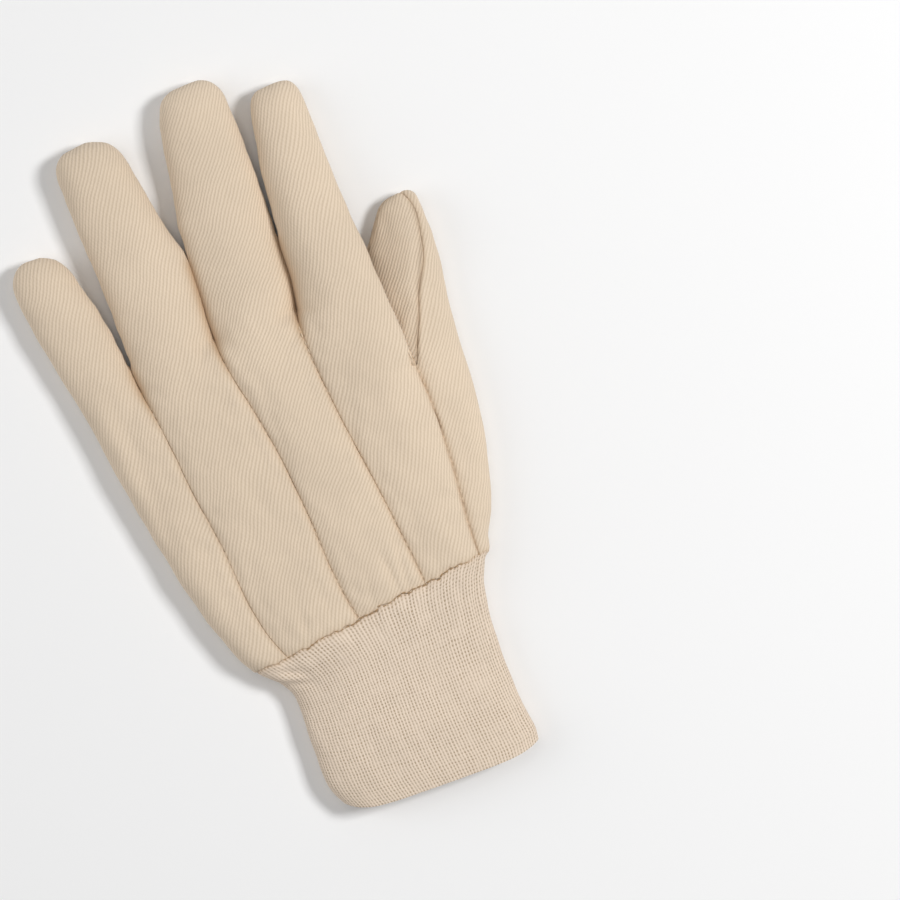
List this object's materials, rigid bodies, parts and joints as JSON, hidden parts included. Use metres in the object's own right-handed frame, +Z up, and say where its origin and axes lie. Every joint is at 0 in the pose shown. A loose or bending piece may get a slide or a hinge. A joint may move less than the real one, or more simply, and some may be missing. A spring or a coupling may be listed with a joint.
{
  "type": "cotton work glove",
  "caption": "Natural cotton twill work glove for the left hand with a knit wrist, lying palm down with the thumb folded in under the forefinger.",
  "frame": {"origin": "on the surface that the glove rests on, under the middle of its outline", "axes": "+Y along the hand towards the fingertips, +X across it towards the thumb, +Z up through the back of the hand"},
  "size_m": [0.145, 0.2606, 0.024],
  "materials": {
    "cotton_twill": "matte",
    "cotton_knit": "matte"
  },
  "bodies": {
    "root": {"body_panel": "cotton_twill", "ring_back_strip": "cotton_twill", "middle_back_strip": "cotton_twill", "thumb_outer_panel": "cotton_twill", "thumb_inner_panel": "cotton_twill", "knit_cuff": "cotton_knit"}
  },
  "joints": []
}
